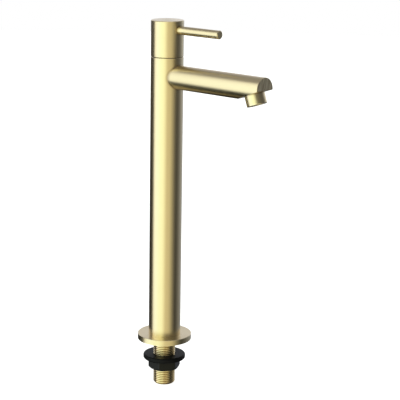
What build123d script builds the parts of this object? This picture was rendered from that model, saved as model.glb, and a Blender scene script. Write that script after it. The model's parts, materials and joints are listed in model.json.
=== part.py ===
"""A tall cold-water basin tap: column, spout, turning head, quarter-turn valve and threaded tail.

Millimetres. +Z is up, the origin is the centre of the flange's underside, and the spout and the
lever point along -Y.
"""

from build123d import *
from math import cos, radians, sin, tan
import os

os.makedirs("parts", exist_ok=True)

# Clearances
braze_gap = 0.03
slip_gap = 0.05
drop_in_gap = 0.1
edge_break = 0.3

# Column and flange
column_od = 30.4
column_wall = 2.0
column_height = 272.85
flange_od = 51.5
flange_thickness = 5.3
flange_register_depth = 2.0
flange_edge_break = 0.25
base_seal_od = 45.0
base_seal_width = 3.5
base_seal_thickness = 2.0

# Pipe thread of the tail and of the headwork, 14 turns to the inch
thread_major_d = 20.955
thread_pitch = 1.814
thread_depth_per_pitch = 0.640327
thread_flank_angle = 27.5

# Tail
tail_length = 45.0
tail_bore_d = 14.0
tail_bore_depth = 49.0
tail_lead_in = 1.0
tail_plug_height = 14.0
feed_tube_od = 12.0
feed_tube_wall = 1.0
feed_socket_depth = 8.0
feed_ring_section = 1.5
feed_ring_depth = 4.0

# Clamp washer and backnut, where the photo has them on the thread
clamp_drop = 15.55
washer_od = 40.6
washer_bore_gap = 0.52
washer_thickness = 4.6
washer_rounding = 1.5
nut_across_flats = 27.3
nut_height = 9.6
nut_turn = -35.0
nut_corner_break = 1.6
nut_bore_gap = 0.08

# Spout
spout_drop = 17.9
spout_od = 22.15
spout_wall = 2.5
spout_reach = 116.5
nose_angle = 19.8
nose_lip_drop = 0.5
sole_thickness = 5.0
spout_tenon_od = 16.0
spout_tenon_bore = 12.0
spout_tenon_root = 3.0

# Outlet sleeve and aerator, measured square to the slanted sole
outlet_setback = 11.65
sleeve_od = 18.3
sleeve_length = 10.2
sleeve_rim_rounding = 0.7
sleeve_shoulder = 0.95
sleeve_spigot_wall = 0.7
sleeve_spigot_height = 2.8
outlet_lip_width = 0.9
outlet_lip_thickness = 1.0
outlet_seat_width = 1.8
aerator_washer_thickness = 0.9
gauze_thickness = 0.4
gauze_hole_d = 1.5
gauze_rim = 1.25
gauze_rings = 3
strainer_thickness = 0.5
strainer_hole_d = 0.9
strainer_rim = 2.75
strainer_rings = 3
jet_count = 12
jet_d = 1.4
jet_plate_thickness = 1.5
cartridge_wall = 0.8

# Head, lever and grub screw
head_height = 33.2
seam_gap = 0.5
seam_recess = 0.4
glide_ring_wall = 1.0
head_cavity_depth = 15.0
head_edge_break = 0.5
head_boss_d = 14.0
lever_d = 7.8
lever_reach = 63.8
lever_drop = 8.35
lever_seat_depth = 3.0
lever_tenon_d = 5.0
lever_tenon_length = 7.0
lever_end_break = 0.6
grub_d = 5.0
grub_length = 8.0
grub_key_across_flats = 2.5
grub_key_depth = 3.0
grub_point_break = 0.9
grub_drop = 14.7

# Valve body
neck_wall = 1.17
neck_height = 3.5
seat_drop = 8.9
seat_hole_d = 9.0
valve_floor = 2.5
chamber_d = 20.8
headwork_thread_length = 9.0

# Headwork, from the seat upwards
seat_seal_height = 2.5
seat_seal_wall = 2.4
skirt_od = 18.4
skirt_wall = 1.0
disc_thickness = 3.2
port_mid_r = 4.9
port_width = 3.4
port_arc = 30.0
key_width = 2.6
drive_bar_width = 2.4
drive_bar_length = 12.0
drive_bar_engagement = 1.4
drive_bar_height = 2.5
collar_thickness = 1.5
thrust_washer_thickness = 1.0
window_width = 9.0
stop_lug_arc = 18.0
stop_lug_reach = 1.8
stop_play = 2.0
quarter_turn = 90.0
spindle_d = 9.0
spindle_ring_section = 1.5
spindle_ring_spacing = 4.0
hex_flange_thickness = 1.2
hex_flange_width = 0.6
hex_across_flats = 19.0
hex_height = 4.5
shell_nose_height = 2.5
shell_nose_wall = 2.0
ring_groove_width = 1.6
clip_thickness = 0.8
clip_groove_depth = 0.65
clip_width = 2.2
clip_opening = 70.0
spline_d = 8.0
spline_tooth_depth = 0.4
spline_teeth = 20
spline_length = 8.5

# Radii and heights that follow from the sizes above
column_r = column_od / 2
column_bore_r = column_r - column_wall
brazed_r = column_bore_r - braze_gap
spout_z = column_height - spout_drop
head_bottom_z = column_height + seam_gap
head_top_z = head_bottom_z + head_height
neck_top_z = column_height + neck_height
seat_z = spout_z - seat_drop
valve_bottom_z = seat_z - valve_floor - feed_socket_depth
crest_r = thread_major_d / 2
root_r = crest_r - thread_depth_per_pitch * thread_pitch
thread_bore_r = crest_r + slip_gap
neck_r = thread_bore_r + neck_wall
head_cavity_r = neck_r + glide_ring_wall + 2 * slip_gap
base_seal_id = base_seal_od - 2 * base_seal_width
flange_register_z = flange_thickness - flange_register_depth
plug_top_z = flange_thickness + tail_plug_height
feed_bottom_z = plug_top_z - feed_socket_depth
feed_top_z = valve_bottom_z + feed_socket_depth
feed_socket_r = feed_tube_od / 2 + slip_gap
feed_ring_r = feed_socket_r + feed_ring_section / 2
lower_feed_ring_z = plug_top_z - feed_ring_depth
upper_feed_ring_z = valve_bottom_z + feed_ring_depth
nut_top_z = -clamp_drop - washer_thickness
washer_id = thread_major_d + 2 * washer_bore_gap
chamber_r = chamber_d / 2
thread_start_z = neck_top_z - headwork_thread_length
headwork_ring_z = neck_top_z - ring_groove_width / 2
tenon_tip = (column_bore_r + chamber_r) / 2
waterway_start = column_r + spout_tenon_root
outlet_reach = spout_reach - outlet_setback
sleeve_spigot_od = sleeve_od - 2 * sleeve_shoulder
sleeve_bore_r = sleeve_spigot_od / 2 - sleeve_spigot_wall
aerator_r = sleeve_bore_r - slip_gap
gauze_ring_pitch = (aerator_r - gauze_rim) / gauze_rings
strainer_ring_pitch = (aerator_r - strainer_rim) / strainer_rings
sleeve_top = slip_gap - sleeve_spigot_height
cartridge_top = sleeve_top + strainer_thickness
cartridge_bottom = slip_gap + sleeve_length - outlet_lip_thickness - gauze_thickness
skirt_r = skirt_od / 2
skirt_bore_r = skirt_r - skirt_wall
fixed_disc_z = seat_z + seat_seal_height
moving_disc_z = fixed_disc_z + disc_thickness
disc_top_z = moving_disc_z + disc_thickness
collar_z = disc_top_z + drive_bar_height
collar_top_z = collar_z + collar_thickness
shoulder_z = collar_top_z + thrust_washer_thickness + 2 * slip_gap
hex_z = neck_top_z + hex_flange_thickness
hex_top_z = hex_z + hex_height
shell_top_z = hex_top_z + shell_nose_height
clip_z = shell_top_z + slip_gap
spline_z = clip_z + 2 * clip_thickness
lever_z = head_top_z - lever_drop
grub_z = head_top_z - grub_drop
lever_seat_y = column_r - lever_seat_depth

# Working planes: along the spout, along the lever, out of the back of the head, out of the sole
spout_plane = Plane(origin=(0, 0, spout_z), x_dir=(1, 0, 0), z_dir=(0, -1, 0))
lever_plane = Plane(origin=(0, 0, lever_z), x_dir=(1, 0, 0), z_dir=(0, -1, 0))
grub_plane = Plane(origin=(0, 0, grub_z), x_dir=(1, 0, 0), z_dir=(0, 1, 0))
sole_slope = radians(nose_angle)
outlet_z = spout_z - nose_lip_drop - outlet_setback * tan(sole_slope)
sole_plane = Plane(
    origin=(0, -outlet_reach, outlet_z),
    x_dir=(1, 0, 0),
    z_dir=(0, -sin(sole_slope), -cos(sole_slope)),
)


def save(piece, name):
    piece.part.label = name
    export_step(piece.part, f"parts/{name}.step")


def thread_outline(top_z, bottom_z):
    """Half section of an external thread, downwards: one ridge for each turn that fits."""
    flank = (crest_r - root_r) * tan(radians(thread_flank_angle))
    half_crest = (thread_pitch / 2 - flank) / 2
    points = []
    for turn in range(int((top_z - bottom_z) / thread_pitch)):
        ridge_z = top_z - (turn + 0.5) * thread_pitch
        points.append((root_r, ridge_z + half_crest + flank))
        points.append((crest_r, ridge_z + half_crest))
        points.append((crest_r, ridge_z - half_crest))
        points.append((root_r, ridge_z - half_crest - flank))
    return points


def ring_section(mid_r, mid_z, section):
    """Round section of an O-ring, in the half plane beside the tap's axis."""
    with Locations((mid_r, mid_z)):
        Circle(section / 2)


def spline_profile(tip_r, tooth_depth):
    """Pointed serrations round the spindle's end."""
    points = []
    for step in range(2 * spline_teeth):
        r = tip_r if step % 2 == 0 else tip_r - tooth_depth
        turn = radians(180 * step / spline_teeth)
        points.append((r * cos(turn), r * sin(turn)))
    Polygon(*points, align=None)


def hole_rings(ring_count, ring_pitch, hole_d):
    """A centre hole and rings of 6, 12, 18 and more holes round it."""
    Circle(hole_d / 2)
    for ring in range(1, ring_count + 1):
        with PolarLocations(ring * ring_pitch, 6 * ring):
            Circle(hole_d / 2)


def disc_ports(turn):
    """Two opposite curved ports of a valve disc, at the given turn from +Y."""
    for side in (90, 270):
        start = side + turn - port_arc / 2
        SlotArc(CenterArc((0, 0), port_mid_r, start, port_arc, mode=Mode.PRIVATE), port_width)


# Column tube, with the hole that the spout's tenon goes through
with BuildPart() as column_tube:
    with BuildSketch(Plane.XY.offset(flange_thickness)):
        Circle(column_r)
        Circle(column_bore_r, mode=Mode.SUBTRACT)
    extrude(amount=column_height - flange_thickness)
    chamfer(column_tube.faces().sort_by(Axis.Z)[-1].outer_wire().edges(), edge_break)
    with BuildSketch(spout_plane):
        Circle(spout_tenon_od / 2 + braze_gap)
    extrude(amount=column_od, mode=Mode.SUBTRACT)
save(column_tube, "column_tube")

# Base flange: the column stands on it, the tail's plug is let into it from above
with BuildPart() as base_flange:
    with BuildSketch(Plane.XY):
        Circle(flange_od / 2)
        Circle(crest_r + drop_in_gap, mode=Mode.SUBTRACT)
    extrude(amount=flange_thickness)
    chamfer(base_flange.faces().sort_by(Axis.Z)[-1].outer_wire().edges(), flange_edge_break)
    with BuildSketch(Plane.XY.offset(flange_register_z)):
        Circle(column_bore_r)
    extrude(amount=flange_register_depth, mode=Mode.SUBTRACT)
    with BuildSketch(Plane.XY):
        Circle(base_seal_od / 2 + slip_gap)
        Circle(base_seal_id / 2 - slip_gap, mode=Mode.SUBTRACT)
    extrude(amount=base_seal_thickness, mode=Mode.SUBTRACT)
save(base_flange, "base_flange")

# Base seal, flush with the flange's underside
with BuildPart() as base_seal:
    with BuildSketch(Plane.XY):
        Circle(base_seal_od / 2)
        Circle(base_seal_id / 2, mode=Mode.SUBTRACT)
    extrude(amount=base_seal_thickness)
save(base_seal, "base_seal")

# Threaded tail: plug brazed into the column, thread below, socket for the feed tube
with BuildPart() as threaded_tail:
    passage_r = feed_tube_od / 2 - feed_tube_wall
    bore_top_z = tail_bore_depth - tail_length
    with BuildSketch(Plane.XZ):
        with BuildLine():
            Polyline(
                (tail_bore_d / 2, bore_top_z),
                (passage_r, bore_top_z),
                (passage_r, feed_bottom_z),
                (feed_socket_r, feed_bottom_z),
                (feed_socket_r, plug_top_z),
                (brazed_r, plug_top_z),
                (brazed_r, flange_register_z),
                (root_r, flange_register_z),
                *thread_outline(flange_register_z, tail_lead_in - tail_length),
                (root_r, -tail_length),
                (tail_bore_d / 2, -tail_length),
                close=True,
            )
        make_face()
    revolve(axis=Axis.Z)
    with BuildSketch(Plane.XZ):
        ring_section(feed_ring_r, lower_feed_ring_z, feed_ring_section + slip_gap)
    revolve(axis=Axis.Z, mode=Mode.SUBTRACT)
save(threaded_tail, "threaded_tail")

# Feed tube and its two O-rings
with BuildPart() as feed_tube:
    with BuildSketch(Plane.XY.offset(feed_bottom_z)):
        Circle(feed_tube_od / 2)
        Circle(feed_tube_od / 2 - feed_tube_wall, mode=Mode.SUBTRACT)
    extrude(amount=feed_top_z - feed_bottom_z)
save(feed_tube, "feed_tube")

with BuildPart() as feed_tube_o_rings:
    with BuildSketch(Plane.XZ):
        for ring_z in (lower_feed_ring_z, upper_feed_ring_z):
            ring_section(feed_ring_r, ring_z, feed_ring_section)
    revolve(axis=Axis.Z)
save(feed_tube_o_rings, "feed_tube_o_rings")

# Clamp washer and backnut on the tail
with BuildPart() as clamp_washer:
    with BuildSketch(Plane.XY.offset(nut_top_z)):
        Circle(washer_od / 2)
        Circle(washer_id / 2, mode=Mode.SUBTRACT)
    extrude(amount=washer_thickness)
    fillet(clamp_washer.faces().filter_by(Plane.XY).edges().sort_by(SortBy.LENGTH)[-2:], washer_rounding)
save(clamp_washer, "clamp_washer")

with BuildPart() as backnut:
    nut_corner_r = nut_across_flats / 2 / cos(radians(30))
    with BuildSketch(Plane.XY.offset(nut_top_z)):
        RegularPolygon(nut_corner_r, 6, rotation=nut_turn)
    extrude(amount=-nut_height)
    with BuildSketch(Plane.XZ):
        with BuildLine():
            Polyline(
                (0, nut_top_z),
                (nut_corner_r, nut_top_z),
                (nut_corner_r, nut_top_z - nut_height + nut_corner_break),
                (nut_across_flats / 2, nut_top_z - nut_height),
                (0, nut_top_z - nut_height),
                close=True,
            )
        make_face()
    revolve(axis=Axis.Z, mode=Mode.INTERSECT)
    with BuildSketch(Plane.XY.offset(nut_top_z)):
        Circle(crest_r + nut_bore_gap)
    extrude(amount=-nut_height, mode=Mode.SUBTRACT)
save(backnut, "backnut")

# Waterway inside the spout, a solid that is taken out of it
with BuildPart() as spout_waterway:
    with BuildSketch(spout_plane.offset(waterway_start)):
        Circle(spout_od / 2 - spout_wall)
    extrude(amount=spout_reach - spout_wall - waterway_start)
    split(bisect_by=sole_plane.offset(-sole_thickness), keep=Keep.BOTTOM)

# Spout: saddle on the column, tenon into the valve body, slanted sole with the outlet's thread
with BuildPart() as spout:
    with BuildSketch(spout_plane):
        Circle(spout_od / 2)
    extrude(amount=spout_reach)
    split(bisect_by=sole_plane, keep=Keep.BOTTOM)
    chamfer(spout.faces().sort_by(Axis.Y)[0].edges(), edge_break)
    with BuildSketch(Plane.XY):
        Circle(column_r + braze_gap)
    extrude(amount=head_top_z, mode=Mode.SUBTRACT)
    with BuildSketch(spout_plane.offset(tenon_tip)):
        Circle(spout_tenon_od / 2)
    extrude(amount=waterway_start - tenon_tip)
    with BuildSketch(spout_plane.offset(tenon_tip)):
        Circle(spout_tenon_bore / 2)
    extrude(amount=waterway_start - tenon_tip, mode=Mode.SUBTRACT)
    add(spout_waterway.part, mode=Mode.SUBTRACT)
    with BuildSketch(sole_plane):
        Circle(sleeve_spigot_od / 2 + slip_gap)
    extrude(amount=-(sleeve_spigot_height + aerator_washer_thickness + slip_gap), mode=Mode.SUBTRACT)
    with BuildSketch(sole_plane):
        Circle(sleeve_spigot_od / 2 - outlet_seat_width)
    extrude(amount=-2 * sole_thickness, mode=Mode.SUBTRACT)
save(spout, "spout")

# Outlet sleeve: spigot screwed into the sole, lip at the mouth that the aerator rests on
with BuildPart() as outlet_sleeve:
    with BuildSketch(sole_plane.offset(slip_gap)):
        Circle(sleeve_od / 2)
    extrude(amount=sleeve_length)
    fillet(outlet_sleeve.faces().sort_by(Axis.Z)[0].edges(), sleeve_rim_rounding)
    with BuildSketch(sole_plane.offset(slip_gap)):
        Circle(sleeve_spigot_od / 2)
    extrude(amount=-sleeve_spigot_height)
    with BuildSketch(sole_plane.offset(sleeve_top)):
        Circle(sleeve_bore_r)
    extrude(amount=sleeve_spigot_height + sleeve_length - outlet_lip_thickness, mode=Mode.SUBTRACT)
    with BuildSketch(sole_plane):
        Circle(sleeve_bore_r - outlet_lip_width)
    extrude(amount=2 * sleeve_length, mode=Mode.SUBTRACT)
save(outlet_sleeve, "outlet_sleeve")

# Aerator stack inside the sleeve: washer, strainer, cartridge with its jets, gauze
with BuildPart() as aerator_washer:
    with BuildSketch(sole_plane.offset(sleeve_top)):
        Circle(sleeve_spigot_od / 2 - slip_gap)
        Circle(sleeve_spigot_od / 2 - outlet_seat_width, mode=Mode.SUBTRACT)
    extrude(amount=-aerator_washer_thickness)
save(aerator_washer, "aerator_washer")

with BuildPart() as aerator_strainer:
    with BuildSketch(sole_plane.offset(sleeve_top)):
        Circle(aerator_r)
    extrude(amount=strainer_thickness)
    with BuildSketch(sole_plane.offset(sleeve_top)):
        hole_rings(strainer_rings, strainer_ring_pitch, strainer_hole_d)
    extrude(amount=strainer_thickness, mode=Mode.SUBTRACT)
save(aerator_strainer, "aerator_strainer")

with BuildPart() as aerator_cartridge:
    with BuildSketch(sole_plane.offset(cartridge_top)):
        Circle(aerator_r)
        Circle(aerator_r - cartridge_wall, mode=Mode.SUBTRACT)
    extrude(amount=cartridge_bottom - cartridge_top)
    with BuildSketch(sole_plane.offset((cartridge_top + cartridge_bottom) / 2)):
        Circle(aerator_r)
        with PolarLocations((sleeve_bore_r - cartridge_wall) / 2, jet_count):
            Circle(jet_d / 2, mode=Mode.SUBTRACT)
    extrude(amount=-jet_plate_thickness)
save(aerator_cartridge, "aerator_cartridge")

with BuildPart() as aerator_gauze:
    with BuildSketch(sole_plane.offset(cartridge_bottom)):
        Circle(aerator_r)
    extrude(amount=gauze_thickness)
    with BuildSketch(sole_plane.offset(cartridge_bottom)):
        hole_rings(gauze_rings, gauze_ring_pitch, gauze_hole_d)
    extrude(amount=gauze_thickness, mode=Mode.SUBTRACT)
save(aerator_gauze, "aerator_gauze")

# Valve body: brazed into the column's top, its neck stands up inside the head
with BuildPart() as valve_body:
    with BuildSketch(Plane.XZ):
        with BuildLine():
            Polyline(
                (feed_socket_r, valve_bottom_z),
                (brazed_r, valve_bottom_z),
                (brazed_r, column_height),
                (neck_r, column_height),
                (neck_r, neck_top_z),
                (thread_bore_r, neck_top_z),
                (thread_bore_r, thread_start_z),
                (chamber_r, thread_start_z),
                (chamber_r, seat_z),
                (seat_hole_d / 2, seat_z),
                (seat_hole_d / 2, feed_top_z),
                (feed_socket_r, feed_top_z),
                close=True,
            )
        make_face()
    revolve(axis=Axis.Z)
    with BuildSketch(Plane.XZ):
        ring_section(feed_ring_r, upper_feed_ring_z, feed_ring_section + slip_gap)
    revolve(axis=Axis.Z, mode=Mode.SUBTRACT)
    with BuildSketch(spout_plane):
        Circle(spout_tenon_bore / 2)
    extrude(amount=column_r, mode=Mode.SUBTRACT)
    with BuildSketch(spout_plane.offset(tenon_tip - braze_gap)):
        Circle(spout_tenon_od / 2 + braze_gap)
    extrude(amount=column_r, mode=Mode.SUBTRACT)
save(valve_body, "valve_body")

# Headwork shell: skirt with windows and disc keyways, thread, hexagon and nose
with BuildPart() as headwork_shell:
    spindle_bore_r = spindle_d / 2 + slip_gap
    with BuildSketch(Plane.XZ):
        with BuildLine():
            Polyline(
                (skirt_bore_r, fixed_disc_z),
                (skirt_r, fixed_disc_z),
                (skirt_r, thread_start_z),
                *reversed(thread_outline(neck_top_z - ring_groove_width, thread_start_z)),
                (root_r, neck_top_z),
                (neck_r - hex_flange_width, neck_top_z),
                (neck_r - hex_flange_width, hex_z),
                (spindle_bore_r + shell_nose_wall, hex_z),
                (spindle_bore_r + shell_nose_wall, shell_top_z),
                (spindle_bore_r, shell_top_z),
                (spindle_bore_r, shoulder_z),
                (skirt_bore_r, shoulder_z),
                close=True,
            )
        make_face()
    revolve(axis=Axis.Z)
    with BuildSketch(Plane.XY.offset(hex_z)):
        RegularPolygon(hex_across_flats / 2, 6, major_radius=False)
        Circle(spindle_bore_r, mode=Mode.SUBTRACT)
    extrude(amount=hex_height)
    with BuildSketch(Plane.XY.offset(fixed_disc_z)):
        Rectangle(2 * skirt_r, key_width + 2 * drop_in_gap)
    extrude(amount=disc_thickness, mode=Mode.SUBTRACT)
    with BuildSketch(Plane.XY.offset(moving_disc_z + disc_thickness / 2)):
        Rectangle(window_width, 2 * skirt_r)
    extrude(amount=disc_thickness / 2 + drive_bar_height, mode=Mode.SUBTRACT)
    with BuildSketch(Plane.XY.offset(collar_z + slip_gap)):
        with BuildLine():
            outer_arc = CenterArc((0, 0), skirt_r, -stop_lug_arc / 2, stop_lug_arc)
            inner_arc = CenterArc((0, 0), skirt_bore_r - stop_lug_reach, -stop_lug_arc / 2, stop_lug_arc)
            Line(outer_arc @ 0, inner_arc @ 0)
            Line(outer_arc @ 1, inner_arc @ 1)
        make_face()
    extrude(amount=collar_thickness - 2 * slip_gap)
save(headwork_shell, "headwork_shell")

# O-ring under the headwork's flange
with BuildPart() as headwork_o_ring:
    with BuildSketch(Plane.XZ):
        ring_section((root_r + thread_bore_r) / 2, headwork_ring_z, thread_bore_r - root_r - 2 * slip_gap)
    revolve(axis=Axis.Z)
save(headwork_o_ring, "headwork_o_ring")

# Seat seal, fixed disc and moving disc; the ports cross while the lever is over the spout
with BuildPart() as seat_seal:
    with BuildSketch(Plane.XY.offset(seat_z)):
        Circle(skirt_r)
        Circle(skirt_r - seat_seal_wall, mode=Mode.SUBTRACT)
    extrude(amount=seat_seal_height)
save(seat_seal, "seat_seal")

with BuildPart() as fixed_disc:
    with BuildSketch(Plane.XY.offset(fixed_disc_z)):
        Circle(skirt_bore_r - slip_gap)
        Rectangle(2 * (skirt_r - drop_in_gap), key_width)
    extrude(amount=disc_thickness)
    with BuildSketch(Plane.XY.offset(fixed_disc_z)):
        disc_ports(0)
    extrude(amount=disc_thickness, mode=Mode.SUBTRACT)
save(fixed_disc, "fixed_disc")

with BuildPart() as moving_disc:
    with BuildSketch(Plane.XY.offset(moving_disc_z)):
        Circle(skirt_bore_r - 2 * drop_in_gap)
    extrude(amount=disc_thickness)
    with BuildSketch(Plane.XY.offset(moving_disc_z)):
        disc_ports(quarter_turn)
    extrude(amount=disc_thickness, mode=Mode.SUBTRACT)
    with BuildSketch(Plane.XY.offset(disc_top_z)):
        Rectangle(drive_bar_width + 2 * slip_gap, drive_bar_length + 2 * slip_gap)
    extrude(amount=-drive_bar_engagement - slip_gap, mode=Mode.SUBTRACT)
save(moving_disc, "moving_disc")

# Spindle: drive bar, notched collar, shaft with two ring grooves, clip groove, serrated end
with BuildPart() as spindle:
    groove_r = spindle_d / 2 - spindle_ring_section
    upper_groove_z = neck_top_z - spindle_ring_section
    lower_groove_z = upper_groove_z - spindle_ring_spacing
    with BuildSketch(Plane.XY.offset(disc_top_z - drive_bar_engagement)):
        Rectangle(drive_bar_width, drive_bar_length)
    extrude(amount=drive_bar_engagement + drive_bar_height)
    with BuildSketch(Plane.XY.offset(collar_z)):
        Circle(skirt_bore_r - drop_in_gap)
    extrude(amount=collar_thickness)
    with BuildSketch(Plane.XY.offset(collar_z)):
        with BuildLine():
            notch_start = -quarter_turn - stop_lug_arc / 2 - stop_play
            notch_arc = quarter_turn + stop_lug_arc + 2 * stop_play
            notch_r = skirt_bore_r - stop_lug_reach - drop_in_gap
            outer_arc = CenterArc((0, 0), skirt_r, notch_start, notch_arc)
            inner_arc = CenterArc((0, 0), notch_r, notch_start, notch_arc)
            Line(outer_arc @ 0, inner_arc @ 0)
            Line(outer_arc @ 1, inner_arc @ 1)
        make_face()
    extrude(amount=collar_thickness, mode=Mode.SUBTRACT)
    with BuildSketch(Plane.XY.offset(collar_top_z)):
        Circle(spindle_d / 2)
    extrude(amount=spline_z - collar_top_z)
    for groove_z in (lower_groove_z, upper_groove_z):
        with BuildSketch(Plane.XY.offset(groove_z - spindle_ring_section / 2 - slip_gap)):
            Circle(spindle_d / 2)
            Circle(groove_r, mode=Mode.SUBTRACT)
        extrude(amount=spindle_ring_section + 2 * slip_gap, mode=Mode.SUBTRACT)
    with BuildSketch(Plane.XY.offset(clip_z - slip_gap)):
        Circle(spindle_d / 2)
        Circle(spindle_d / 2 - clip_groove_depth, mode=Mode.SUBTRACT)
    extrude(amount=clip_thickness + 2 * slip_gap, mode=Mode.SUBTRACT)
    with BuildSketch(Plane.XY.offset(spline_z)):
        spline_profile(spline_d / 2, spline_tooth_depth)
    extrude(amount=spline_length)
save(spindle, "spindle")

with BuildPart() as spindle_o_rings:
    with BuildSketch(Plane.XZ):
        for groove_z in (lower_groove_z, upper_groove_z):
            ring_section(groove_r + spindle_ring_section / 2, groove_z, spindle_ring_section - slip_gap)
    revolve(axis=Axis.Z)
save(spindle_o_rings, "spindle_o_rings")

with BuildPart() as spindle_clip:
    with BuildSketch(Plane.XY.offset(clip_z)):
        with BuildLine():
            clip_inner_r = spindle_d / 2 - clip_groove_depth + slip_gap
            clip_start = clip_opening / 2
            clip_arc = 360 - clip_opening
            outer_arc = CenterArc((0, 0), clip_inner_r + clip_width, clip_start, clip_arc)
            inner_arc = CenterArc((0, 0), clip_inner_r, clip_start, clip_arc)
            Line(outer_arc @ 0, inner_arc @ 0)
            Line(outer_arc @ 1, inner_arc @ 1)
        make_face()
    extrude(amount=clip_thickness)
save(spindle_clip, "spindle_clip")

with BuildPart() as thrust_washer:
    with BuildSketch(Plane.XY.offset(collar_top_z + slip_gap)):
        Circle(skirt_bore_r - drop_in_gap)
        Circle(spindle_d / 2 + slip_gap, mode=Mode.SUBTRACT)
    extrude(amount=thrust_washer_thickness)
save(thrust_washer, "thrust_washer")

# Glide ring between column and head: a flat rim in the seam and a sleeve round the neck
with BuildPart() as head_glide_ring:
    with BuildSketch(Plane.XZ):
        with BuildLine():
            Polyline(
                (neck_r + slip_gap, column_height),
                (column_r - seam_recess, column_height),
                (column_r - seam_recess, head_bottom_z - slip_gap),
                (head_cavity_r - slip_gap, head_bottom_z - slip_gap),
                (head_cavity_r - slip_gap, neck_top_z),
                (neck_r + slip_gap, neck_top_z),
                close=True,
            )
        make_face()
    revolve(axis=Axis.Z)
save(head_glide_ring, "head_glide_ring")

# Head: cavity over the headwork, serrated socket in the boss, holes for the lever and the screw
with BuildPart() as head_cap:
    boss_bottom_z = spline_z + slip_gap
    with BuildSketch(Plane.XZ):
        with BuildLine():
            Polyline(
                (head_cavity_r, head_bottom_z),
                (column_r - edge_break, head_bottom_z),
                (column_r, head_bottom_z + edge_break),
                (column_r, head_top_z - head_edge_break),
                (column_r - head_edge_break, head_top_z),
                (0, head_top_z),
                (0, boss_bottom_z),
                (head_boss_d / 2, boss_bottom_z),
                (head_boss_d / 2, head_bottom_z + head_cavity_depth),
                (head_cavity_r, head_bottom_z + head_cavity_depth),
                close=True,
            )
        make_face()
    revolve(axis=Axis.Z)
    with BuildSketch(Plane.XY.offset(boss_bottom_z)):
        spline_profile(spline_d / 2 + slip_gap, spline_tooth_depth)
    extrude(amount=spline_length, mode=Mode.SUBTRACT)
    with BuildSketch(lever_plane.offset(lever_seat_y)):
        Circle(lever_d / 2 + slip_gap)
    extrude(amount=column_r, mode=Mode.SUBTRACT)
    with BuildSketch(lever_plane.offset(lever_seat_y - lever_tenon_length - slip_gap)):
        Circle(lever_tenon_d / 2 + slip_gap)
    extrude(amount=column_r, mode=Mode.SUBTRACT)
    with BuildSketch(grub_plane):
        Circle(grub_d / 2 + slip_gap)
    extrude(amount=column_od, mode=Mode.SUBTRACT)
save(head_cap, "head_cap")

# Lever rod with its screwed tenon
with BuildPart() as lever_rod:
    with BuildSketch(lever_plane.offset(lever_seat_y)):
        Circle(lever_d / 2)
    extrude(amount=lever_reach - lever_seat_y)
    chamfer(lever_rod.faces().sort_by(Axis.Y)[0].edges(), lever_end_break)
    with BuildSketch(lever_plane.offset(lever_seat_y)):
        Circle(lever_tenon_d / 2)
    extrude(amount=-lever_tenon_length)
save(lever_rod, "lever_rod")

# Grub screw against the spindle, driven from the back of the head
with BuildPart() as grub_screw:
    grub_tip_y = spline_d / 2 + slip_gap
    with BuildSketch(grub_plane.offset(grub_tip_y)):
        Circle(grub_d / 2)
    extrude(amount=grub_length)
    chamfer(grub_screw.faces().sort_by(Axis.Y)[0].edges(), grub_point_break)
    with BuildSketch(grub_plane.offset(grub_tip_y + grub_length)):
        RegularPolygon(grub_key_across_flats / 2, 6, major_radius=False)
    extrude(amount=-grub_key_depth, mode=Mode.SUBTRACT)
save(grub_screw, "grub_screw")
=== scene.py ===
import json
from math import cos, pi, radians, sin

import bmesh
import bpy
from mathutils import Matrix, Vector


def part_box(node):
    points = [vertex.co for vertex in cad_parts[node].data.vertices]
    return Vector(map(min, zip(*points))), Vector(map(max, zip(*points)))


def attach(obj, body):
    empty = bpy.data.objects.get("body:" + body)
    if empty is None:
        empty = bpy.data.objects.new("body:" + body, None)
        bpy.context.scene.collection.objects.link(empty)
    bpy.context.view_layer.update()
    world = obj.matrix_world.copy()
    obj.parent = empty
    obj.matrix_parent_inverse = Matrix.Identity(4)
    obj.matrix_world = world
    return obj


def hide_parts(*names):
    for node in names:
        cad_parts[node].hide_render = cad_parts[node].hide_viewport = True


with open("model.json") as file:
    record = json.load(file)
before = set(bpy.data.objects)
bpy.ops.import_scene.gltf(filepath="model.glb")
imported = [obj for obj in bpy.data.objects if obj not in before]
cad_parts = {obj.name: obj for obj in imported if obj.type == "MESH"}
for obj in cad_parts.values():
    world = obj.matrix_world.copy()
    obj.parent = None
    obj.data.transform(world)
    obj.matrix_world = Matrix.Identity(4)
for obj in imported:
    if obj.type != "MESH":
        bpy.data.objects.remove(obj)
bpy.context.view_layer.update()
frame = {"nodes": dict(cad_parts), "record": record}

mm = 0.001

# Camera: a long lens, a little above the spout, off the tap's front left
lens_mm = 123.27
sensor_mm = 36.0
camera_distance = 1259.13 * mm
camera_height = 439.01 * mm
spout_heading = radians(-47.05)
camera_pan = radians(1.47)
camera_pitch = radians(13.48)
camera_roll = radians(0.92)

# Thread of the tail, 14 turns to the inch, its roots left a fifth short of the full depth
thread_crest_r = 20.955 / 2 * mm
thread_pitch = 1.814 * mm
thread_depth = 0.640327 * thread_pitch
thread_root_r = thread_crest_r - thread_depth * 0.8


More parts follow.
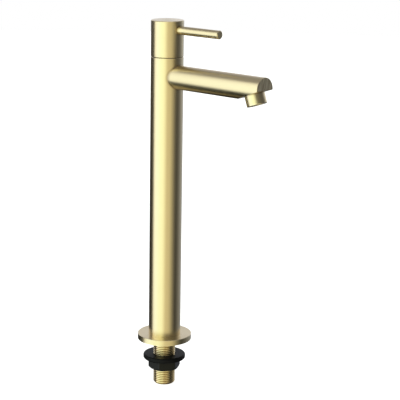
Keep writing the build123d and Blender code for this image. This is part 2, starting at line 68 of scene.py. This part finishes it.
class Value:
    """A number that varies over a surface. Arithmetic on it adds Math nodes."""

    def __init__(self, finish, socket):
        self.finish = finish
        self.socket = socket

    def math(self, operation, *others, flip=False):
        terms = [self, *others]
        if flip:
            terms.reverse()
        made = self.finish.add("ShaderNodeMath", {"operation": operation}, dict(enumerate(terms)))
        return self.finish.value(made)

    def __add__(self, other):
        return self.math("ADD", other)

    __radd__ = __add__

    def __sub__(self, other):
        return self.math("SUBTRACT", other)

    def __rsub__(self, other):
        return self.math("SUBTRACT", other, flip=True)

    def __mul__(self, other):
        return self.math("MULTIPLY", other)

    __rmul__ = __mul__

    def __truediv__(self, other):
        return self.math("DIVIDE", other)

    def __pow__(self, other):
        return self.math("POWER", other)

    def rise(self, low, high):
        """0 below low, 1 above high, smooth between. With low over high it falls instead."""
        ends = (low, high, 0.0, 1.0) if low < high else (high, low, 1.0, 0.0)
        sockets = dict(zip(("Value", "From Min", "From Max", "To Min", "To Max"), (self, *ends)))
        made = self.finish.add("ShaderNodeMapRange", {"interpolation_type": "SMOOTHSTEP"}, sockets)
        return self.finish.value(made)

    def window(self, low, high, soft):
        """1 between low and high, 0 outside, with soft edges centred on both."""
        return self.rise(low - soft, low + soft) * self.rise(high + soft, high - soft)


class Finish:
    """The node tree of one material or of the studio."""

    def __init__(self, tree):
        self.tree = tree
        tree.nodes.clear()

    def add(self, kind, settings=(), sockets=()):
        """A node of that kind: its settings first, then its sockets' values or links."""
        made = self.tree.nodes.new(kind)
        for name, setting in dict(settings).items():
            setattr(made, name, setting)
        for name, given in dict(sockets).items():
            if isinstance(given, Value):
                self.tree.links.new(given.socket, made.inputs[name])
            else:
                made.inputs[name].default_value = given
        return made

    def value(self, node, output=0):
        return Value(self, node.outputs[output])

    def place(self):
        """Where the surface is, in metres, in the tap's own frame."""
        made = self.add("ShaderNodeTexCoord")
        return self.split(self.value(made, "Object"))

    def facing(self):
        """Which way the surface faces, as three parts."""
        made = self.add("ShaderNodeNewGeometry")
        return self.split(self.value(made, "Normal"))

    def split(self, vector):
        made = self.add("ShaderNodeSeparateXYZ", {}, {0: vector})
        return [self.value(made, part) for part in range(3)]

    def join(self, x, y, z):
        made = self.add("ShaderNodeCombineXYZ", {}, {0: x, 1: y, 2: z})
        return self.value(made)

    def noise(self, x, y, z, detail=2.0):
        """Soft noise from 0 to 1 whose grains are about one unit of x, y and z."""
        sockets = {"Vector": self.join(x, y, z), "Scale": 1.0, "Detail": detail, "Roughness": 0.55}
        return self.value(self.add("ShaderNodeTexNoise", {}, sockets))

    def clouds(self, place, size, detail=2.0):
        """The same noise over a place, with grains of that size, in metres, each way."""
        return self.noise(*(part / size for part in place), detail=detail)

    def mix(self, factor, first, second):
        """A blend of two colours."""
        sockets = {"Factor": factor, 6: first, 7: second}
        return self.value(self.add("ShaderNodeMix", {"data_type": "RGBA"}, sockets), 2)

    def bump(self, height, strength, depth):
        """A dented normal. Height 1 stands depth over height 0."""
        sockets = {"Height": height, "Strength": strength, "Distance": depth}
        return self.value(self.add("ShaderNodeBump", {}, sockets))


def blend(factor, first, second):
    """First at factor 0, second at factor 1."""
    return first + (second - first) * factor


def colour(red, green, blue):
    return (red, green, blue, 1.0)


def new_finish(name):
    material = bpy.data.materials.new(name)
    material.use_nodes = True
    return material, Finish(material.node_tree)


def close_finish(finish, sockets):
    shader = finish.add("ShaderNodeBsdfPrincipled", {}, sockets)
    finish.add("ShaderNodeOutputMaterial", {}, {0: finish.value(shader)})


def from_axis(place, foot, axis):
    """How far a place lies along an axis through foot, and how far off it, in metres."""
    x, y, z = (part - start for part, start in zip(place, foot))
    along = x * axis[0] + y * axis[1] + z * axis[2]
    off_axis = (x * x + y * y + z * z - along * along).math("MAXIMUM", 0.0) ** 0.5
    return along, off_axis


# Brushed gold

grain_width = 0.16 * mm
grain_length = 14 * mm
grain_relief = 0.012 * mm
cloud_size = 22 * mm
smear_size = 4 * mm
wear_patch = 2.5 * mm
wear_least = 0.25 * mm
wear_spread = 0.5 * mm
gold_roughness = 0.292
satin_dark = colour(0.745, 0.62, 0.385)
satin_light = colour(0.855, 0.725, 0.465)
streak_dark = colour(0.64, 0.53, 0.33)
streak_light = colour(1.0, 0.87, 0.60)
# A dark brown painted shade for the corners where the pieces meet
corner_shade_colour = colour(0.26, 0.17, 0.09)
worn_gold = colour(0.97, 0.86, 0.62)


def straight_grain(finish, place, along):
    """Brush lines that run along one axis: 0, 1 or 2."""
    steps = [part / (grain_length if axis == along else grain_width) for axis, part in enumerate(place)]
    return finish.noise(*steps, detail=3.0)


def round_grain(finish, place, foot=(0.0, 0.0, 0.0), axis=(0.0, 0.0, 1.0)):
    """Turning lines round an axis through foot, given in metres."""
    along, off_axis = from_axis(place, foot, axis)
    wander = finish.clouds(place, grain_length, detail=0.0)
    return finish.noise(off_axis / grain_width, along / grain_width, wander * 1.5, detail=3.0)


def edge_wear(finish, place, edges):
    """1 on the round edges, patchy, fading within the wear's width. Each edge: (foot, axis, radius)."""
    patches = finish.clouds(place, wear_patch, detail=3.0)
    width = wear_least + patches * wear_spread
    wear = 0.0
    for foot, axis, radius in edges:
        along, off_axis = from_axis(place, foot, axis)
        away = ((off_axis - radius) ** 2 + along ** 2) ** 0.5
        wear = (1.0 - away / width).math("MAXIMUM", wear)
    return wear


def brushed_gold(name, grain_of, edges, corner_shade_of=None, streaks_of=None, stretch=0.0):
    """Satin pale gold over brass under a thin clear coat, with painted shade in the corners where the
    pieces meet.

    Stretch draws its glints out across the brushing."""
    material, finish = new_finish(name)
    place = finish.place()
    grain = grain_of(finish, place)
    wear = edge_wear(finish, place, edges)
    cloud = finish.clouds(place, cloud_size)
    smear = finish.clouds(place, smear_size, detail=1.0)
    tone = (grain - 0.5) * 0.45 + (cloud - 0.5) * 0.3 + 0.5
    satin = finish.mix(tone, satin_dark, satin_light)
    if streaks_of:
        share, streaks = streaks_of(finish, place)
        satin = finish.mix(share, satin, finish.mix(streaks, streak_dark, streak_light))
    if corner_shade_of:
        # Painted shade: near where the pieces meet, the gold darkens towards that dark brown
        satin = finish.mix(corner_shade_of(finish, place) * 0.6, satin, corner_shade_colour)
    close_finish(finish, {
        "Base Color": finish.mix(wear * 0.6, satin, worn_gold),
        "Metallic": 1.0,
        "Roughness": gold_roughness + (smear - 0.5) * 0.04 - wear * 0.01,
        "Anisotropic": stretch,
        "Anisotropic Rotation": 0.25,
        "Coat Weight": 0.28 + (cloud - 0.5) * 0.1,
        "Coat Roughness": 0.35,
        "Normal": finish.bump(grain, 0.02, grain_relief),
    })
    return material


# Bare metals

stain_size = 6 * mm
turning_relief = 0.01 * mm
oil_reach = thread_depth * 0.55
old_oil = colour(0.15, 0.095, 0.045)


def bare_metal(name, light, dark, roughness, grain_of, groove_r=0.0):
    """Bare metal with its turning lines, and old cutting oil in a thread whose root is at groove_r."""
    material, finish = new_finish(name)
    place = finish.place()
    grain = grain_of(finish, place)
    stain = finish.clouds(place, stain_size, detail=3.0)
    bare = finish.mix(blend(0.35, grain, stain), dark, light)
    oil = 0.0
    if groove_r:
        off_axis = (place[0] ** 2 + place[1] ** 2) ** 0.5
        oil = off_axis.rise(groove_r + oil_reach, groove_r) * off_axis.rise(groove_r - mm, groove_r)
    close_finish(finish, {
        "Base Color": finish.mix(oil * 0.45, bare, old_oil),
        "Metallic": 1.0,
        "Roughness": roughness + (stain - 0.5) * 0.08 + oil * 0.15,
        "Normal": finish.bump(grain, 0.25, turning_relief),
    })
    return material


# Rubber, plastic and ceramic

bloom_size = 9 * mm


def moulded(name, light, dark, roughness, grit, relief, gloss=0.32):
    """Moulded rubber, plastic or ceramic with a fine grit and handling marks."""
    material, finish = new_finish(name)
    place = finish.place()
    pores = finish.clouds(place, grit, detail=4.0)
    bloom = finish.clouds(place, bloom_size, detail=3.0)
    close_finish(finish, {
        "Base Color": finish.mix(blend(0.6, pores, bloom), dark, light),
        "Roughness": roughness + (bloom - 0.5) * 0.16 + (pores - 0.5) * 0.08,
        "Specular IOR Level": gloss,
        "Normal": finish.bump(pores, 0.3, relief),
    })
    return material


# Places of the pieces, read from the frame

column_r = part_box("column_tube")[1].x
flange_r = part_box("base_flange")[1].x
spout_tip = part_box("spout")[0].y
spout_r = (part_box("spout")[1].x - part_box("spout")[0].x) / 2
spout_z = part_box("spout")[1].z - spout_r
lever_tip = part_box("lever_rod")[0].y
lever_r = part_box("lever_rod")[1].x
lever_z = (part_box("lever_rod")[0].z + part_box("lever_rod")[1].z) / 2
outlet = next(mount for mount in frame["record"]["mounts"] if mount["name"] == "outlet_collar")
sleeve_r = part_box("outlet_sleeve")[1].x
sleeve_to_mouth = 4.75 * mm
sleeve_to_root = 4.9 * mm
sleeve_mouth = [middle + part * sleeve_to_mouth for middle, part in zip(outlet["pos_m"], outlet["axis"])]


# Which way each piece is brushed

streak_width = 1.3 * mm
streak_length = 16 * mm
streak_lean = 0.3


def along_z(finish, place):
    return straight_grain(finish, place, 2)


def along_y(finish, place):
    return straight_grain(finish, place, 1)


def faces_forward(finish):
    """1 on the flat of the nose and on the lever's end, 0 on their sides."""
    return finish.facing()[1].rise(-0.6, -0.9)


def spout_grain(finish, place):
    """Lengthwise on the barrel, upright on the flat of the nose."""
    nose = faces_forward(finish)
    return blend(nose, along_y(finish, place), along_z(finish, place))


def nose_streaks(finish, place):
    """Where the flat of the nose is, and its coarser brush lines, which lean a little off upright."""
    x, y, z = place
    nose = faces_forward(finish)
    across = (x - z * streak_lean) / streak_width
    lines = finish.noise(across, y / grain_length, z / streak_length, detail=1.0)
    return nose, lines.rise(0.34, 0.62)


def lever_grain(finish, place):
    """Lengthwise on the rod, turned on its end."""
    end = faces_forward(finish)
    rings = round_grain(finish, place, foot=(0.0, 0.0, lever_z), axis=(0.0, 1.0, 0.0))
    return blend(end, along_y(finish, place), rings)


def outlet_grain(finish, place):
    return round_grain(finish, place, foot=outlet["pos_m"], axis=outlet["axis"])


# Painted shade in the corners where the pieces meet

corner_reach = 3 * mm
corner_full = 0.2 * mm
column_front = -2 * mm
column_tightness = 1.8
outlet_tightness = 1.5


def close_to(distance):
    """1 where that distance is nothing, 0 from the corner's reach on."""
    return distance.rise(corner_reach, corner_full)


def column_corner_shade(finish, place):
    """Painted shade round the roots of the spout and the lever, on the front of the column and its head."""
    x, y, z = place
    from_spout = (x * x + (z - spout_z) ** 2) ** 0.5 - spout_r
    from_lever = (x * x + (z - lever_z) ** 2) ** 0.5 - lever_r
    nearest = from_spout.math("MINIMUM", from_lever)
    return close_to(nearest * column_tightness) * y.rise(0.0, column_front) * 0.6


def root_corner_shade(finish, place):
    """Painted shade where the spout leaves the column, or the lever its head."""
    x, y = place[:2]
    return close_to((x * x + y * y) ** 0.5 - column_r)


def outlet_corner_shade(finish, place):
    """Painted shade where the outlet leaves the nose."""
    above = sum((part - start) * way for part, start, way in zip(place, outlet["pos_m"], outlet["axis"]))
    return close_to((above + sleeve_to_root) * outlet_tightness)


# Edges that wear shows on first

def round_edge(node, radius, end):
    """An edge round the tap's axis on the top or the bottom of a CAD node."""
    low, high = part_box(node)
    return (0.0, 0.0, high.z if end == "top" else low.z), (0.0, 0.0, 1.0), radius


column_edges = [
    round_edge("column_tube", column_r, "top"),
    round_edge("head_cap", column_r, "bottom"),
    round_edge("head_cap", column_r, "top"),
]
flange_edges = [round_edge("base_flange", flange_r, "top"), round_edge("base_flange", flange_r, "bottom")]
spout_edges = [((0.0, spout_tip, spout_z), (0.0, 1.0, 0.0), spout_r)]
lever_edges = [((0.0, lever_tip, lever_z), (0.0, 1.0, 0.0), lever_r)]
outlet_edges = [(sleeve_mouth, outlet["axis"], sleeve_r)]

finishes = {
    "column": brushed_gold("brushed gold, round the column", round_grain, column_edges, column_corner_shade,
                           stretch=0.45),
    "spout": brushed_gold("brushed gold, spout", spout_grain, spout_edges, root_corner_shade, nose_streaks),
    "lever": brushed_gold("brushed gold, lever", lever_grain, lever_edges, root_corner_shade),
    "flange": brushed_gold("brushed gold, flange", round_grain, flange_edges, stretch=0.4),
    "outlet": brushed_gold("brushed gold, outlet", outlet_grain, outlet_edges, outlet_corner_shade),
    "tail": bare_metal("tail brass", colour(0.90, 0.77, 0.49), colour(0.79, 0.62, 0.34), 0.08, round_grain,
                       thread_root_r),
    "inner_brass": bare_metal("inner brass", colour(0.74, 0.62, 0.36), colour(0.60, 0.47, 0.24), 0.3,
                              round_grain),
    "copper": bare_metal("drawn copper", colour(0.80, 0.47, 0.34), colour(0.66, 0.34, 0.22), 0.3, along_z),
    "steel": bare_metal("stainless steel", colour(0.66, 0.65, 0.63), colour(0.48, 0.47, 0.45), 0.34,
                        round_grain),
    "rubber": moulded("black rubber", colour(0.012, 0.012, 0.014), colour(0.005, 0.005, 0.006), 0.40,
                      0.25 * mm, 0.02 * mm, gloss=0.08),
    "nylon": moulded("black nylon", colour(0.014, 0.015, 0.015), colour(0.006, 0.006, 0.007), 0.36,
                     0.4 * mm, 0.01 * mm, gloss=0.22),
    "plastic": moulded("white plastic", colour(0.80, 0.81, 0.79), colour(0.68, 0.69, 0.67), 0.4,
                       0.4 * mm, 0.01 * mm),
    "ceramic": moulded("lapped ceramic", colour(0.84, 0.82, 0.77), colour(0.76, 0.73, 0.67), 0.18,
                       0.2 * mm, 0.004 * mm),
}

node_finish = {
    "column_tube": "column",
    "head_cap": "column",
    "base_flange": "flange",
    "base_seal": "rubber",
    "threaded_tail": "tail",
    "feed_tube": "copper",
    "feed_tube_o_rings": "rubber",
    "spout": "spout",
    "outlet_sleeve": "outlet",
    "aerator_washer": "rubber",
    "aerator_strainer": "plastic",
    "aerator_cartridge": "plastic",
    "aerator_gauze": "steel",
    "valve_body": "inner_brass",
    "headwork_shell": "inner_brass",
    "headwork_o_ring": "rubber",
    "seat_seal": "rubber",
    "fixed_disc": "ceramic",
    "moving_disc": "ceramic",
    "spindle": "inner_brass",
    "spindle_o_rings": "rubber",
    "spindle_clip": "steel",
    "thrust_washer": "plastic",
    "head_glide_ring": "nylon",
    "lever_rod": "lever",
    "grub_screw": "steel",
    "clamp_washer": "rubber",
    "backnut": "nylon",
}


def paint(piece, finish_name):
    piece.data.materials.clear()
    piece.data.materials.append(finishes[finish_name])


for node_name, finish_name in node_finish.items():
    paint(frame["nodes"][node_name], finish_name)


# Pieces made here

around_steps = 96
weld_distance = 0.002 * mm


def new_piece(name, rings, finish_name, body, node=None, closed=True, crease=35):
    """A skin over rings of points, each ring a loop. Where closed, the last ring joins the first."""
    mesh = bmesh.new()
    made = [[mesh.verts.new(point) for point in ring] for ring in rings]
    pairs = list(zip(made, made[1:]))
    if closed:
        pairs.append((made[-1], made[0]))
    for first, second in pairs:
        for step in range(len(first)):
            after = (step + 1) % len(first)
            mesh.faces.new((first[step], first[after], second[after], second[step]))
    finish_piece(name, mesh, finish_name, body, node, crease)


def finish_piece(name, mesh, finish_name, body, node=None, crease=35):
    """Welds and shades a bmesh, then makes it a piece of the tap. Bends over crease degrees stay sharp."""
    bmesh.ops.remove_doubles(mesh, verts=mesh.verts, dist=weld_distance)
    bmesh.ops.recalc_face_normals(mesh, faces=mesh.faces)
    data = bpy.data.meshes.new(name)
    mesh.to_mesh(data)
    mesh.free()
    data.shade_smooth()
    data.set_sharp_from_angle(angle=radians(crease))
    piece = bpy.data.objects.new(name, data)
    bpy.context.scene.collection.objects.link(piece)
    paint(piece, finish_name)
    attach(piece, body)
    if node:
        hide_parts(node)


def round_point(radius, turn, z):
    """The point at that radius and turn round the tap's axis, at height z."""
    return Vector((radius * cos(turn), radius * sin(turn), z))


# Threaded tail: one right-handed helix from the flange down to a cone at the end

tail_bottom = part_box("threaded_tail")[0].z
tail_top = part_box("threaded_tail")[1].z
thread_top = 2.4 * mm
thread_bottom = tail_bottom + 0.45 * mm
thread_fade_slope = 4
plug_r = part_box("threaded_tail")[1].x
tail_bore_r = 7.0 * mm
tail_passage_r = 5.0 * mm
tail_bore_top = 4.0 * mm
feed_socket_r = 6.05 * mm
feed_socket_depth = 8.0 * mm
plug_seat = 2.5 * mm
mouth_break = 0.4 * mm


def ridge_profile():
    """Across one pitch of the thread, upwards: (share of the pitch, share of the depth)."""
    rising = [(0.0, 0.0), (0.05, 0.0), (0.08, 0.06), (0.27, 0.88), (0.30, 0.97), (0.34, 1.0)]
    return rising + [(1.05 - along, depth) for along, depth in reversed(rising[1:])]


def tail_section(step):
    """The tail's outline at one step round the axis, from the bore's mouth up the outside to the socket."""
    turn = 2 * pi * step / around_steps
    section = [
        (tail_bore_r, tail_bottom + mouth_break),
        (tail_bore_r + mouth_break, tail_bottom),
        (thread_root_r - mouth_break, tail_bottom),
        (thread_root_r, tail_bottom + mouth_break),
    ]
    pitches = int((thread_top - thread_bottom) / thread_pitch) + 3
    for pitch in range(-1, pitches):
        for along, depth in ridge_profile():
            z = thread_bottom + thread_pitch * (pitch + along + step / around_steps)
            z = min(max(z, thread_bottom), thread_top)
            end_depth = min(z - thread_bottom, (thread_top - z) * thread_fade_slope)
            section.append((thread_root_r + min(depth * (thread_crest_r - thread_root_r), end_depth), z))
    section += [
        (thread_root_r, plug_seat),
        (plug_r, plug_seat),
        (plug_r, tail_top),
        (feed_socket_r, tail_top),
        (feed_socket_r, tail_top - feed_socket_depth),
        (tail_passage_r, tail_top - feed_socket_depth),
        (tail_passage_r, tail_bore_top),
        (tail_bore_r, tail_bore_top),
    ]
    return [round_point(radius, turn, z) for radius, z in section]


new_piece("tail_with_thread", [tail_section(step) for step in range(around_steps + 1)], "tail",
          "tap_body", "threaded_tail", closed=False, crease=50)


# Backnut: moulded hexagon with softened corners, coned underneath, with a plain bore

nut_low, nut_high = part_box("backnut")
nut_across_flats = 27.3 * mm
nut_flat_r = nut_across_flats / 2
nut_corner_r = nut_flat_r / cos(pi / 6)
nut_bore_r = thread_crest_r + 0.08 * mm
nut_turn = radians(-35)
nut_cone_height = 1.6 * mm
nut_softness = 0.55 * mm
nut_rim = 0.45 * mm
nut_steps = 144
nut_rim_bends = 4
nut_side_rows = 8


def soft_least(first, second, softness):
    """The smaller of two sizes, rounded where they meet."""
    gap = max(softness - abs(first - second), 0.0) / softness
    return min(first, second) - gap * gap * softness / 4


def nut_reach(turn, z):
    """How far the nut reaches from its axis, that way round and at that height."""
    slice_turn = (turn - nut_turn) % (pi / 3) - pi / 6
    flat = nut_flat_r / cos(slice_turn)
    beside = nut_flat_r / cos(pi / 3 - abs(slice_turn))
    reach = soft_least(flat, beside, nut_softness)
    cone_slope = (nut_corner_r - nut_flat_r) / nut_cone_height
    return soft_least(reach, nut_flat_r + (z - nut_low.z) * cone_slope, nut_softness)


def nut_section(step):
    """The nut's outline at one step round the axis, from the bore over the top and down the side."""
    turn = 2 * pi * step / nut_steps
    section = [(nut_bore_r, nut_high.z - nut_rim), (nut_bore_r + nut_rim, nut_high.z)]
    for bend in range(nut_rim_bends + 1):
        rim_turn = pi / 2 * bend / nut_rim_bends
        dip = nut_rim * (1 - sin(rim_turn))
        drop = nut_rim * (1 - cos(rim_turn))
        section.append((nut_reach(turn, nut_high.z) - dip, nut_high.z - drop))
    highest = nut_high.z - nut_rim
    lowest = nut_low.z + nut_rim
    for row in range(1, nut_side_rows + 1):
        z = highest + (lowest - highest) * (1 - (1 - row / nut_side_rows) ** 2)
        section.append((nut_reach(turn, z), z))
    for bend in range(1, nut_rim_bends + 1):
        rim_turn = pi / 2 * bend / nut_rim_bends
        dip = nut_rim * (1 - cos(rim_turn))
        drop = nut_rim * sin(rim_turn)
        section.append((nut_reach(turn, lowest) - dip, lowest - drop))
    section += [(nut_bore_r + nut_rim, nut_low.z), (nut_bore_r, nut_low.z + nut_rim)]
    return [round_point(radius, turn, z) for radius, z in section]


new_piece("moulded_backnut", [nut_section(step) for step in range(nut_steps)], "nylon", "nut",
          "backnut")


# Braze fillet where the spout's saddle meets the column

fillet_r = 0.3 * mm
fillet_bends = 6
sink = 0.03 * mm
corner_sink = 2 * sink


def fillet_section(step):
    """A ball of the fillet's radius rests on both tubes; the fillet is its arc and the corner behind it."""
    turn = 2 * pi * step / around_steps
    ball_x = (spout_r + fillet_r) * cos(turn)
    ball_z = spout_z + (spout_r + fillet_r) * sin(turn)
    ball_off = column_r + fillet_r
    ball = Vector((ball_x, -((ball_off ** 2 - ball_x ** 2) ** 0.5), ball_z))
    to_column = Vector((-ball.x, -ball.y, 0.0)).normalized()
    to_spout = Vector((-cos(turn), 0.0, -sin(turn)))
    spread = to_column.angle(to_spout)
    ring = []
    for bend in range(fillet_bends + 1):
        share = bend / fillet_bends
        aim = (to_column * sin((1 - share) * spread) + to_spout * sin(share * spread)) / sin(spread)
        ring.append(ball + aim * (fillet_r + sink))
    corner_r = spout_r - corner_sink
    corner_x = corner_r * cos(turn)
    corner_y = -(((column_r - corner_sink) ** 2 - corner_x ** 2) ** 0.5)
    ring.append(Vector((corner_x, corner_y, spout_z + corner_r * sin(turn))))
    return ring


new_piece("spout_root_fillet", [fillet_section(step) for step in range(around_steps)], "spout",
          "tap_body")


# Aerator gauze: woven wires in a rolled rim, in the mouth of the outlet

gauze_low, gauze_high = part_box("aerator_gauze")
outlet_axis = Vector(outlet["axis"]).normalized()
outlet_across = Vector((1.0, 0.0, 0.0))
outlet_along = outlet_axis.cross(outlet_across)
gauze_middle = (gauze_low + gauze_high) / 2
gauze_r = (gauze_high.x - gauze_low.x) / 2
wire_r = 0.09 * mm
wire_pitch = 0.72 * mm
wire_steps = 4
rim_r = 0.19 * mm


def gauze_point(across, along, proud):
    return gauze_middle + outlet_across * across + outlet_along * along + outlet_axis * proud


def add_tube(mesh, path, radius, sides=6, loop=False):
    """A round wire along a path of points; its ends are closed unless it is a loop."""
    rings = []
    turns = [2 * pi * corner / sides for corner in range(sides)]
    for place, point in enumerate(path):
        before = path[place - 1] if place or loop else point
        after = path[(place + 1) % len(path)] if place + 1 < len(path) or loop else point
        onward = (after - before).normalized()
        side = onward.cross(outlet_axis).normalized()
        up = side.cross(onward)
        ring = [point + (side * cos(turn) + up * sin(turn)) * radius for turn in turns]
        rings.append([mesh.verts.new(corner) for corner in ring])
    pairs = list(zip(rings, rings[1:])) + ([(rings[-1], rings[0])] if loop else [])
    for first, second in pairs:
        for corner in range(sides):
            after = (corner + 1) % sides
            mesh.faces.new((first[corner], first[after], second[after], second[corner]))
    if not loop:
        mesh.faces.new(rings[0])
        mesh.faces.new(list(reversed(rings[-1])))


def weave_gauze():
    """Wires both ways that pass over and under each other, and the rim round them."""
    mesh = bmesh.new()
    mesh_r = gauze_r - rim_r
    wires = int(mesh_r / wire_pitch)
    for wire in range(-wires, wires + 1):
        offset = wire * wire_pitch
        half = (mesh_r ** 2 - offset ** 2) ** 0.5
        steps = max(int(2 * half / wire_pitch * wire_steps), wire_steps)
        for crossing in (False, True):
            path = []
            for step in range(steps + 1):
                along = -half + 2 * half * step / steps
                wave = cos(pi * (along / wire_pitch + wire)) * wire_r
                if crossing:
                    path.append(gauze_point(along, offset, -wave))
                else:
                    path.append(gauze_point(offset, along, wave))
            add_tube(mesh, path, wire_r)
    turns = [2 * pi * step / around_steps for step in range(around_steps)]
    rim = [gauze_point(mesh_r * cos(turn), mesh_r * sin(turn), 0.0) for turn in turns]
    add_tube(mesh, rim, rim_r, sides=8, loop=True)
    finish_piece("woven_gauze", mesh, "steel", "tap_body", "aerator_gauze", crease=60)


weave_gauze()


# Floor: a pale sweep just under the tail, plain white from the camera and see-through from below

floor_r = 3.0
floor_drop = 0.5 * mm
floor_grit = 3 * mm
floor_glow = 0.9


def lay_floor():
    mesh = bmesh.new()
    bmesh.ops.create_circle(mesh, cap_ends=True, segments=around_steps, radius=floor_r)
    data = bpy.data.meshes.new("floor")
    mesh.to_mesh(data)
    mesh.free()
    floor = bpy.data.objects.new("floor", data)
    floor.location.z = tail_bottom - floor_drop
    bpy.context.scene.collection.objects.link(floor)
    floor.visible_glossy = False
    floor.visible_diffuse = False
    floor.visible_transmission = False
    floor.visible_shadow = False
    material, finish = new_finish("pale floor")
    speckle = finish.clouds(finish.place(), floor_grit, detail=3.0)
    chalk = finish.mix(speckle, colour(0.86, 0.86, 0.85), colour(0.94, 0.94, 0.93))
    pale = finish.add("ShaderNodeBsdfPrincipled", {}, {
        "Base Color": chalk,
        "Roughness": 0.8,
        "Specular IOR Level": 0.0,
        "Emission Color": colour(1, 1, 1),
        "Emission Strength": floor_glow,
    })
    below = finish.value(finish.add("ShaderNodeNewGeometry"), "Backfacing")
    clear = finish.value(finish.add("ShaderNodeBsdfTransparent"))
    mixed = finish.add("ShaderNodeMixShader", {}, {0: below, 1: finish.value(pale), 2: clear})
    finish.add("ShaderNodeOutputMaterial", {}, {0: finish.value(mixed)})
    data.materials.append(material)


lay_floor()


# Camera

ahead = Vector((
    sin(camera_pan) * cos(camera_pitch),
    cos(camera_pan) * cos(camera_pitch),
    -sin(camera_pitch),
))
level = Vector((cos(camera_pan), -sin(camera_pan), 0.0))
upright = level.cross(ahead)
right = level * cos(camera_roll) + upright * sin(camera_roll)
top = upright * cos(camera_roll) - level * sin(camera_roll)
stance = Matrix.Rotation(spout_heading, 4, "Z")

camera = bpy.data.objects.new("camera", bpy.data.cameras.new("camera"))
bpy.context.scene.collection.objects.link(camera)
camera.data.lens = lens_mm
camera.data.sensor_width = sensor_mm
camera_place = Matrix((right, top, -ahead)).transposed().to_4x4()
camera_place.translation = Vector((0.0, -camera_distance, camera_height))
camera.matrix_world = stance @ camera_place
bpy.context.scene.camera = camera


# Studio: what the metal sees is a ring of soft cards, and the camera sees a white sweep

def studio_light():
    """Light from each direction: around is degrees from the camera, positive to its left."""
    world = bpy.data.worlds.new("studio")
    bpy.context.scene.world = world
    world.use_nodes = True
    studio = Finish(world.node_tree)
    toward = studio.split(studio.value(studio.add("ShaderNodeTexCoord"), "Generated"))
    forward = stance.to_3x3() @ Vector((ahead.x, ahead.y, 0.0)).normalized()
    sideways = toward[1] * forward.x - toward[0] * forward.y
    nearward = 0.0 - toward[0] * forward.x - toward[1] * forward.y
    around = sideways.math("ARCTAN2", nearward) * (180 / pi)
    height = toward[2].math("ARCSINE") * (180 / pi)
    key_low = (height - around.rise(76, 98) * 12).rise(-39.5, -27)
    key = around.rise(-8, 30) * around.rise(105, 89) * key_low * height.rise(54, 42)
    flag = around.window(112, 172, 7) * height.rise(40, 20) * height.rise(-2, -16).rise(-0.8, 1.0)
    slits = (around.window(97, 108, 3) + around.window(-88, -75, 3)) * height.rise(-14, -19)
    behind = around.rise(-84, -154) + around.rise(106, 142)
    bounce = around.rise(66, 36) * around.rise(-150, -120) * height.rise(-34, -52)
    cards = [
        # The dim room, with the black flag and two black slits in it
        ((0.090, 0.093, 0.092), height.rise(-46, -30) * (1.0 - flag) * (1.0 - slits)),
        # The key to the camera's left, bluer away from the camera and warmer at its far edge
        ((1.27, 1.44, 1.10), key),
        ((0.0, 0.04, 0.36), key * around.rise(30, 78)),
        ((0.02, -0.17, -0.20), key * around.rise(70, 98)),
        # A warm card low in front and to the right, and a cool one low behind to the right
        ((0.76, 0.70, 0.43), around.rise(-74, -16) * around.rise(32, 0) * height.window(-35, 9, 7)),
        ((0.32, 0.35, 0.42), around.rise(-82, -150) * height.rise(6, -4) * height.rise(-32, -10)),
        # The back wall
        ((0.81, 0.83, 0.91), behind * height.rise(-4, 5) * height.rise(48, 8)),
        # The ceiling, brighter straight above
        ((0.22, 0.212, 0.216), height.rise(22, 56)),
        ((0.50, 0.48, 0.44), height.rise(60, 76)),
        # The floor straight below, and what it throws back in front and to the right
        ((0.18, 0.20, 0.25), height.rise(-62, -80)),
        ((0.33, 0.33, 0.31), bounce),
        # A thin strip level with the tap, behind it to the right
        ((0.50, 0.52, 0.50), around.window(-152, -126, 8) * height.window(-4, 6, 5)),
    ]
    light = [sum(mask * tint[part] for tint, mask in cards) for part in range(3)]
    seen = studio.value(studio.add("ShaderNodeLightPath"), "Is Camera Ray")
    glow = studio.mix(seen, studio.join(*light), colour(1, 1, 1))
    background = studio.add("ShaderNodeBackground", {}, {"Color": glow, "Strength": 1.0})
    studio.add("ShaderNodeOutputWorld", {}, {0: studio.value(background)})


studio_light()

scene = bpy.context.scene
scene.view_settings.view_transform = "Standard"
scene.view_settings.look = "None"
